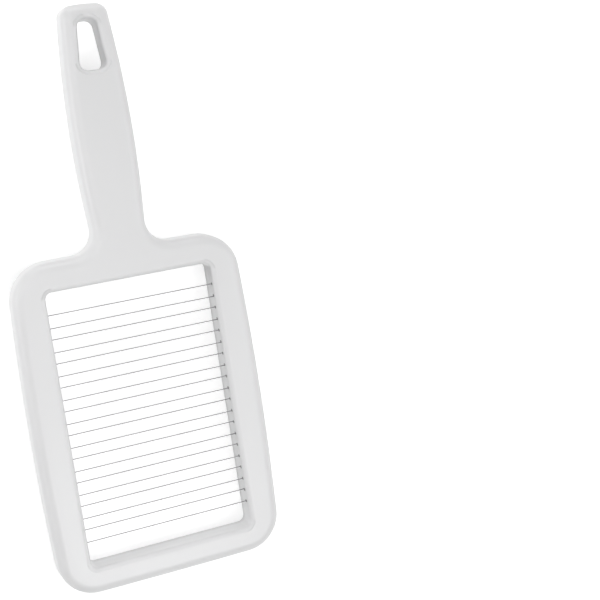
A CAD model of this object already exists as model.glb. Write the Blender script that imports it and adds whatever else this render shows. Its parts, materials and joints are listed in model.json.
"""Looks of the hand-held wire slicer: a gloss white moulded paddle strung with steel wires.

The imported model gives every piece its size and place. This script turns the moulded pieces into
smooth shaded ones, gives each piece its finish, and adds the floor, the lights and the camera.
"""

import json
import logging
import math
from dataclasses import dataclass, field
from enum import Enum
from typing import Any

import bmesh
import bpy
from mathutils import Matrix, Vector

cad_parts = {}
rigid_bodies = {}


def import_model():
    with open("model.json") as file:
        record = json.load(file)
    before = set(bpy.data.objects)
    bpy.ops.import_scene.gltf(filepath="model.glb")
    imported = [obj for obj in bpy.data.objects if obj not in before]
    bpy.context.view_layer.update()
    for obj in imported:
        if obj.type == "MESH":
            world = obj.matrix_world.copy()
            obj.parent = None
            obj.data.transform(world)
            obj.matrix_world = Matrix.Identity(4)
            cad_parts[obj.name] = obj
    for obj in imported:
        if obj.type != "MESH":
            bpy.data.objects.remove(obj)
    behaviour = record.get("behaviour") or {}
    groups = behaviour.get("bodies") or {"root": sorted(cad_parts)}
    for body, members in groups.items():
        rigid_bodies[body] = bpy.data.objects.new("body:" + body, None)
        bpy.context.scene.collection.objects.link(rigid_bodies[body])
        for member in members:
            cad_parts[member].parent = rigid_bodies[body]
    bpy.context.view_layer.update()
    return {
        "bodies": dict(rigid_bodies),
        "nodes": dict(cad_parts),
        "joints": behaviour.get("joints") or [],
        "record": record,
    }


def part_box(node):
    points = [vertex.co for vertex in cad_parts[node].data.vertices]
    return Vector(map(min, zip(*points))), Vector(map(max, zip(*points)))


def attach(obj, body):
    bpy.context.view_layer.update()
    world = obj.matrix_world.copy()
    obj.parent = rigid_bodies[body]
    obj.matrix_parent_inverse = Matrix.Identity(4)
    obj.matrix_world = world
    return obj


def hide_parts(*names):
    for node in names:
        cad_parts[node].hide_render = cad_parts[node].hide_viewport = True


LOG = logging.getLogger("wire_slicer")
MM = 0.001
IMAGE_SIDE = 600  # pixels along each side of the picture
WIRE_COUNT = 20
BLACK = (0.0, 0.0, 0.0, 1.0)
WHITE = (1.0, 1.0, 1.0, 1.0)


class Slot(Enum):
    """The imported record's material slots that new pieces take their finish from."""

    SHELL = "shell_plastic"
    COVER = "cover_plastic"


class Sock:
    """A shader socket that takes part in Python arithmetic."""

    def __init__(self, nodes: "NodeKit", socket: Any) -> None:
        """Wraps an output socket of the tree that nodes builds."""
        self.nodes = nodes
        self.socket = socket

    def _math(self, operation: str, first: Any, second: Any = None) -> "Sock":
        """Adds one Math node.

        Args:
            operation: the Math node's operation.
            first: value or socket of its first input.
            second: value or socket of its second input, if it has one.

        Returns:
            The node's output.
        """
        values = {0: first} if second is None else {0: first, 1: second}
        return self.nodes.add("ShaderNodeMath", {"operation": operation}, values)

    def __add__(self, other: Any) -> "Sock":
        """Sum with a number or a socket."""
        return self._math("ADD", self, other)

    __radd__ = __add__

    def __mul__(self, other: Any) -> "Sock":
        """Product with a number or a socket."""
        return self._math("MULTIPLY", self, other)

    __rmul__ = __mul__

    def __sub__(self, other: Any) -> "Sock":
        """Difference from a number or a socket."""
        return self._math("SUBTRACT", self, other)

    def __rsub__(self, other: Any) -> "Sock":
        """A number less this socket."""
        return self._math("SUBTRACT", other, self)

    def most(self, other: Any) -> "Sock":
        """The greater of the two."""
        return self._math("MAXIMUM", self, other)

    def size(self) -> "Sock":
        """Absolute value."""
        return self._math("ABSOLUTE", self)

    def least(self, other: Any) -> "Sock":
        """The smaller of the two."""
        return self._math("MINIMUM", self, other)


class NodeKit:
    """Adds nodes to one material's tree."""

    def __init__(self, tree: bpy.types.NodeTree) -> None:
        """Starts on an empty tree."""
        self.tree = tree
        tree.nodes.clear()

    def add(self, kind: str, settings: dict[str, Any], values: dict[Any, Any], out: Any = 0) -> Sock:
        """Adds a node.

        Args:
            kind: the node's type.
            settings: its own settings, set first.
            values: value or link of each input, by name or number.
            out: which output to return.

        Returns:
            The chosen output.
        """
        node = self.tree.nodes.new(kind)
        for name, value in settings.items():
            setattr(node, name, value)
        for key, value in values.items():
            if isinstance(value, Sock):
                self.tree.links.new(value.socket, node.inputs[key])
            else:
                node.inputs[key].default_value = value
        return Sock(self, node.outputs[out] if node.outputs else None)

    def place(self) -> Sock:
        """Object coordinates, in metres."""
        return self.add("ShaderNodeTexCoord", {}, {}, "Object")

    def noise(self, where: Sock, scale: float, detail: float = 3.0, rough: float = 0.5) -> Sock:
        """Noise of that many features a metre, from 0 to 1."""
        values = {"Vector": where, "Scale": scale, "Detail": detail, "Roughness": rough}
        return self.add("ShaderNodeTexNoise", {}, values, 0)

    def mix(self, amount: Any, first: Any, second: Any) -> Sock:
        """A colour between first and second by amount."""
        node = self.add("ShaderNodeMix", {"data_type": "RGBA"}, {}).socket.node
        for key, value in ((0, amount), (6, first), (7, second)):
            if isinstance(value, Sock):
                self.tree.links.new(value.socket, node.inputs[key])
            else:
                node.inputs[key].default_value = value
        return Sock(self, node.outputs[2])

    def bump(self, height: Sock, distance: float, strength: float = 1.0) -> Sock:
        """A normal bent by a height.

        Args:
            height: the height, in shares of distance.
            distance: the height's full scale, in metres.
            strength: how much of it counts.

        Returns:
            The bent normal.
        """
        values = {"Height": height, "Distance": distance, "Strength": strength}
        return self.add("ShaderNodeBump", {}, values)

    def shader(self, kind: str, values: dict[Any, Any]) -> Sock:
        """A shader node's output."""
        return self.add(kind, {}, values)

    def finish(self, surface: Sock) -> None:
        """Joins a shader to the material's output."""
        self.add("ShaderNodeOutputMaterial", {}, {"Surface": surface})


def new_material(name: str) -> tuple[bpy.types.Material, NodeKit]:
    material = bpy.data.materials.new(name)
    material.use_nodes = True
    return material, NodeKit(material.node_tree)


def between(value: Sock, low: float, high: float, soft: float) -> Sock:
    """One where a value lies between two limits, fading to zero at them.

    Args:
        value: the value.
        low: its lower limit.
        high: its upper limit.
        soft: how far in from each limit it reaches one.

    Returns:
        The fading mask.
    """
    rising = (value - low) * (1.0 / soft)
    falling = (high - value) * (1.0 / soft)
    return rising.least(falling).least(1.0).most(0.0)


@dataclass(frozen=True)
class WireStain:
    """Grey staining where wet food gathers: the openings' walls, their feet and the guide holes' rims."""

    wires: tuple[float, float, float]  # the first wire's y, the wires' spacing and their height
    across: tuple[float, float] = (35.9 * MM, 38.1 * MM)  # from the middle line to past the window's long wall
    along: tuple[float, float] = (-116.0 * MM, 9.0 * MM)  # the window's length
    above: tuple[float, float] = (0.2 * MM, 12.1 * MM)  # up to the front rim
    soft: float = 0.7 * MM
    strung: tuple[float, float] = (-113.0 * MM, 15.0 * MM)  # the length that the wires stain most
    fade: float = 8.0 * MM  # how far in from each end of it the stain is full
    depth: float = 0.17  # how much darker than the clean wall
    corner: tuple[float, float] = (-9.0 * MM, 18.0 * MM)  # where the handle end's corner starts and its reach
    corner_depth: float = 0.26
    hole_across: float = 6.4 * MM
    hole_along: tuple[float, float] = (97.0 * MM, 122.0 * MM)
    hole_depth: float = 0.17
    foot: float = 4.5 * MM  # height at which the darker foot of each wall ends
    foot_depth: float = 0.26
    rim: tuple[float, float] = (0.7 * MM, 1.1 * MM)  # half width and half height of a guide hole's dark rim
    rim_edge: float = 1.25  # where a rim ends, in shares of those
    rim_soft: float = 0.4  # how far in from there it is full
    rim_depth: float = 0.8
    blotches: float = 420.0  # features a metre
    blotch_least: float = 0.7
    blotch_swing: float = 0.6

    def mask(self, kit: NodeKit, where: Sock) -> Sock:
        """How dark the stain is at a place, from 0 to 1.

        Args:
            kit: the tree that gets the nodes.
            where: the place, in metres.

        Returns:
            The darkness.
        """
        x, y, z = (kit.add("ShaderNodeSeparateXYZ", {}, {"Vector": where}, axis) for axis in "XYZ")
        aside = x.size()
        walls = between(z, *self.above, self.soft * 2.0)
        window = between(y, *self.along, self.soft) * between(aside, -MM, self.across[1], self.soft)
        hole = between(y, *self.hole_along, self.soft) * between(aside, -MM, self.hole_across, self.soft)
        long_wall = window * between(aside, *self.across, self.soft)
        start, reach = self.corner
        corner = ((y - start) * (1.0 / reach)).most(0.0) * self.corner_depth
        foot = (1.0 - z * (1.0 / self.foot)).most(0.0) * self.foot_depth
        strung = long_wall * between(y, *self.strung, self.fade)
        stain = strung * (corner + self.depth) + hole * self.hole_depth + (window + hole) * foot
        blotch = kit.noise(where, self.blotches, 2.0) * self.blotch_swing + self.blotch_least
        return (stain * walls * blotch).most(long_wall * self.rims(kit, y, z))

    def rims(self, kit: NodeKit, y: Sock, z: Sock) -> Sock:
        """The dark rim round each guide hole.

        Args:
            kit: the tree that gets the nodes.
            y: the place along the tool.
            z: the place above the back.

        Returns:
            The rims' darkness.
        """
        first, pitch, height = self.wires
        steps = (y - first) * (1.0 / pitch)
        off = kit.add("ShaderNodeMath", {"operation": "PINGPONG"}, {0: steps, 1: 0.5}) * pitch
        wide, high = self.rim
        parts = {"X": off * (1.0 / wide), "Y": (z - height) * (1.0 / high)}
        pair = kit.add("ShaderNodeCombineXYZ", {}, parts)
        far = kit.add("ShaderNodeVectorMath", {"operation": "LENGTH"}, {0: pair}, "Value")
        past = 0.3  # spacings beyond the end wires
        row = between(steps, -past, WIRE_COUNT - 1 + past, 0.05)
        return between(far, -1.0, self.rim_edge, self.rim_soft) * row * self.rim_depth


@dataclass(frozen=True)
class MouldedPlastic:
    """White injection-moulded plastic with a faint flow mottling and handling marks."""

    name: str
    colour: tuple[float, float, float] = (0.80, 0.80, 0.805)
    roughness: float = 0.3
    mottle: float = 0.02
    clouds: float = 45.0  # features a metre, as for the next two
    specks: float = 1400.0
    marks: float = 260.0
    mark_swing: float = 0.1  # how much handling changes the roughness
    grain: float = 0.01 * MM
    stain: WireStain | None = None

    def make(self) -> bpy.types.Material:
        """The material, with its colour, gloss and fine relief varying over the surface."""
        material, kit = new_material(self.name)
        where = kit.place()
        cloud = kit.noise(where, self.clouds, 2.0)
        fine = kit.noise(where, self.specks, 2.0)
        marks = kit.noise(where, self.marks, 4.0, 0.65)
        dark = tuple(level * (1.0 - self.mottle) for level in self.colour)
        base = kit.mix(cloud, (*self.colour, 1.0), (*dark, 1.0))
        if self.stain is not None:
            base = kit.mix(self.stain.mask(kit, where), base, BLACK)
        gloss = (marks - 0.5) * self.mark_swing + self.roughness
        relief = fine * 0.4 + cloud * 0.6
        values = {
            "Base Color": base,
            "Roughness": gloss,
            "IOR": 1.5,
            "Normal": kit.bump(relief, self.grain),
        }
        kit.finish(kit.shader("ShaderNodeBsdfPrincipled", values))
        return material


@dataclass(frozen=True)
class DrawnSteel:
    """Drawn steel with fine draw lines."""

    name: str
    colour: tuple[float, float, float] = (0.23, 0.23, 0.235)
    roughness: float = 0.35
    draw_lines: float = 9000.0  # features a metre, across the wire
    stretch: float = 0.05  # the same along it, as a share
    line_swing: float = 0.2  # how much they change the roughness
    line_depth: float = 0.004 * MM
    dull: float = 0.8  # the darkest patches, as a share of the colour
    patches: float = 300.0  # features a metre

    def make(self) -> bpy.types.Material:
        """The material, streaked along the wire."""
        material, kit = new_material(self.name)
        stretch = {"Vector": kit.place(), "Scale": (self.stretch, 1.0, 1.0)}
        along = kit.add("ShaderNodeMapping", {}, stretch)
        lines = kit.noise(along, self.draw_lines, 3.0)
        soft = kit.noise(kit.place(), self.patches, 2.0)
        dull = tuple(level * self.dull for level in self.colour)
        values = {
            "Base Color": kit.mix(soft, (*self.colour, 1.0), (*dull, 1.0)),
            "Metallic": 1.0,
            "Roughness": (lines - 0.5) * self.line_swing + self.roughness,
            "Normal": kit.bump(lines, self.line_depth),
        }
        kit.finish(kit.shader("ShaderNodeBsdfPrincipled", values))
        return material


def paint(piece: bpy.types.Object, material: bpy.types.Material) -> None:
    """Gives a piece one material, through its slots where it has them."""
    if not piece.material_slots:
        piece.data.materials.append(material)
    for slot in piece.material_slots:
        slot.material = material


@dataclass
class Moulding:
    """A moulded piece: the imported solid, merged and smooth shaded."""

    node: str
    slot: Slot
    finish: MouldedPlastic
    sharp: float = 38.0  # degrees above which an edge stays crisp
    weld: float = 0.002 * MM

    def build(self, frame: dict[str, Any]) -> bpy.types.Object:
        """Makes the piece and lets it stand for its node.


        Returns:
            The new piece.
        """
        mesh = bpy.data.meshes.new(f"{self.node}_smooth")
        bm = bmesh.new()
        bm.from_mesh(frame["nodes"][self.node].data)
        bmesh.ops.remove_doubles(bm, verts=bm.verts[:], dist=self.weld)
        bm.to_mesh(mesh)
        bm.free()
        mesh.shade_smooth()
        mesh.set_sharp_from_angle(angle=math.radians(self.sharp))
        piece = bpy.data.objects.new(f"{self.node}_smooth", mesh)
        bpy.context.scene.collection.objects.link(piece)
        weight = piece.modifiers.new("flat faces stay flat", "WEIGHTED_NORMAL")
        weight.keep_sharp = True
        weight.mode = "FACE_AREA"
        weight.weight = 100
        paint(piece, self.finish.make())
        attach(piece, "root")
        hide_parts(self.node)
        return piece


@dataclass
class WireSet:
    """The cutting wires and their stop sleeves."""

    wire: DrawnSteel = field(default_factory=lambda: DrawnSteel("drawn_wire"))
    sleeve: DrawnSteel = field(default_factory=lambda: DrawnSteel("crimped_sleeve", (0.4, 0.4, 0.41), 0.45))

    def dress(self, frame: dict[str, Any]) -> int:
        """Gives every wire and sleeve node its steel.


        Returns:
            How many nodes were dressed.
        """
        steels = {"wire": self.wire.make(), "stop": self.sleeve.make()}
        done = 0
        for name, piece in frame["nodes"].items():
            steel = steels.get(name.split("_")[0])
            if steel is None:
                continue
            paint(piece, steel)
            done += 1
        return done


def seen_white(kit: NodeKit) -> Sock:
    """One for a ray that shows the background itself: from the camera, off gloss or through glass."""
    camera = kit.add("ShaderNodeLightPath", {}, {}, "Is Camera Ray")
    outputs = camera.socket.node.outputs
    glossy, through = Sock(kit, outputs["Is Glossy Ray"]), Sock(kit, outputs["Is Transmission Ray"])
    return camera.most(glossy).most(through)


@dataclass(frozen=True)
class SoftBox:
    """A soft panel that hangs in one place and faces another."""

    name: str
    place: tuple[float, float, float]  # metres
    size: tuple[float, float]  # metres
    watts: float
    faces: tuple[float, float, float] = (0.0, -0.02, 0.008)  # metres

    def build(self) -> bpy.types.Object:
        """Hangs the panel, and returns its lamp."""
        data = bpy.data.lights.new(self.name, "AREA")
        data.shape = "RECTANGLE"
        data.size, data.size_y = self.size
        data.energy = self.watts
        lamp = bpy.data.objects.new(self.name, data)
        lamp.location = self.place
        beam = Vector(self.faces) - Vector(self.place)
        lamp.rotation_euler = beam.to_track_quat("-Z", "Y").to_euler()
        bpy.context.scene.collection.objects.link(lamp)
        return lamp


FRAME_MIDDLE = (0.0, -0.07, 0.008)
GRIP_MIDDLE = (0.0, 0.08, 0.008)
LAMPS = (
    SoftBox("overhead", (0.0, -0.1, 0.9), (0.4, 0.4), 0.893),
    SoftBox("high_right", (0.7457, -0.02, 1.0729), (0.6, 0.6), 1.78),
    SoftBox("high_tip_right", (0.5273, -0.5473, 1.0729), (0.6, 0.6), 1.85),
    SoftBox("high_handle_left", (-0.5273, 0.5073, 1.0729), (0.6, 0.6), 1.25),
    SoftBox("middle_right", (1.1025, -0.02, 0.6969), (0.6, 0.6), 2.33),
    SoftBox("low_handle", (0.0, 1.2414, 0.3225), (0.8, 0.25), 2.72),
    SoftBox("strip_handle", (0.0, 0.35, 0.1), (0.4, 0.1), 0.191),
    SoftBox("strip_left", (-0.45, -0.1, 0.12), (0.5, 0.12), 0.268),
    SoftBox("strip_grip_left", (-0.4, 0.12, 0.06), (0.3, 0.08), 0.386, GRIP_MIDDLE),
    SoftBox("near_grip_left", (-0.15, 0.08, 0.25), (0.15, 0.15), 0.071, GRIP_MIDDLE),
    SoftBox("near_tip", (0.0, -0.32, 0.441), (0.3, 0.3), 0.82, FRAME_MIDDLE),
    SoftBox("near_right", (0.25, -0.07, 0.441), (0.3, 0.3), 0.134, FRAME_MIDDLE),
    SoftBox("near_handle", (0.0, 0.18, 0.441), (0.3, 0.3), 0.091, FRAME_MIDDLE),
)


@dataclass
class Stage:
    """Floor, lights, world and camera."""

    floor_side: float = 6.0
    floor_grey: float = 0.8
    floor_bounce: float = 0.36  # light that the floor sends up by itself
    floor_glow: float = 0.43  # the same as the camera and gloss see it, so that the lit floor is white
    lit_middle: tuple[float, float, float] = (0.0, -0.06, 0.0)  # metres
    lit_radius: float = 0.12  # metres from there, past which the lamps fall off
    far_rise: float = 2.8  # how much more the floor glows a metre farther out
    eye: tuple[float, float, float] = (-105.16, 66.39, 530.3)  # mm
    aim: tuple[float, float, float] = (79.98, 12.63, 15.4)  # mm, just above the front face
    picture_up: float = 9.162  # degrees from +Y towards +X
    focal_px: float = 1212.9
    centre_px: tuple[float, float] = (300.5, 234.2)
    sensor: float = 36.0

    def floor(self) -> bpy.types.Object:
        """A pale floor that reads as white and still takes a shadow."""
        bpy.ops.mesh.primitive_plane_add(size=self.floor_side, location=(0.0, 0.0, -0.02 * MM))
        plane = bpy.context.object
        plane.name = "floor"
        material, kit = new_material("pale_floor")
        grey = (self.floor_grey,) * 3 + (1.0,)
        matte = kit.shader("ShaderNodeBsdfDiffuse", {"Color": grey})
        ends = {0: kit.place(), 1: self.lit_middle}
        reach = kit.add("ShaderNodeVectorMath", {"operation": "DISTANCE"}, ends, "Value")
        far = ((reach - self.lit_radius) * self.far_rise).most(0.0).least(1.0 - self.floor_glow)
        strength = seen_white(kit) * (far + (self.floor_glow - self.floor_bounce)) + self.floor_bounce
        glow = kit.shader("ShaderNodeEmission", {"Strength": strength})
        kit.finish(kit.shader("ShaderNodeAddShader", {0: matte, 1: glow}))
        paint(plane, material)
        return plane

    def world(self) -> None:
        """White to the camera and to gloss, and no light of its own."""
        world = bpy.data.worlds.new("studio")
        world.use_nodes = True
        bpy.context.scene.world = world
        kit = NodeKit(world.node_tree)
        values = {"Color": WHITE, "Strength": seen_white(kit)}
        back = kit.add("ShaderNodeBackground", {}, values)
        kit.add("ShaderNodeOutputWorld", {}, {"Surface": back})

    def camera(self) -> None:
        """The camera at the picture's viewing angle."""
        data = bpy.data.cameras.new("camera")
        data.sensor_width = self.sensor
        data.lens = self.focal_px * self.sensor / IMAGE_SIDE
        half = IMAGE_SIDE / 2
        data.shift_x = (half - self.centre_px[0]) / IMAGE_SIDE
        data.shift_y = (self.centre_px[1] - half) / IMAGE_SIDE
        camera = bpy.data.objects.new("camera", data)
        eye, aim = Vector(self.eye) * MM, Vector(self.aim) * MM
        away = (eye - aim).normalized()
        turn = math.radians(self.picture_up)
        up = Vector((math.sin(turn), math.cos(turn), 0.0))
        right = up.cross(away).normalized()
        up = away.cross(right)
        camera.matrix_world = Matrix.Translation(eye) @ Matrix((right, up, away)).transposed().to_4x4()
        bpy.context.scene.collection.objects.link(camera)
        bpy.context.scene.camera = camera

    def build(self) -> None:
        """Sets the whole stage."""
        self.camera()
        self.floor()
        self.world()
        for box in LAMPS:
            box.build()
        bpy.context.scene.view_settings.view_transform = "Standard"


def wire_row() -> tuple[float, float, float]:
    """The lowest wire's y, the wires' spacing and their height, in metres."""
    names = ("wire_01", f"wire_{WIRE_COUNT:02d}")
    middles = [[(low + high) / 2 for low, high in zip(*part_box(name))] for name in names]
    first, last = sorted(middles, key=lambda middle: middle[1])
    return first[1], (last[1] - first[1]) / (WIRE_COUNT - 1), first[2]


def main() -> None:
    """Builds every piece in order."""
    logging.basicConfig(level=logging.INFO, format="%(name)s: %(message)s")
    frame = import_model()
    Stage().build()
    gloss = MouldedPlastic("gloss_white_plastic", stain=WireStain(wire_row()))
    shell = Moulding("front_shell", Slot.SHELL, gloss).build(frame)
    LOG.info("%s: %d faces", shell.name, len(shell.data.polygons))
    cover_finish = MouldedPlastic("satin_white_plastic", roughness=0.42)
    cover = Moulding("back_cover", Slot.COVER, cover_finish).build(frame)
    LOG.info("%s: %d faces", cover.name, len(cover.data.polygons))
    LOG.info("%d steel nodes dressed", WireSet().dress(frame))


if __name__ == "__main__":
    main()
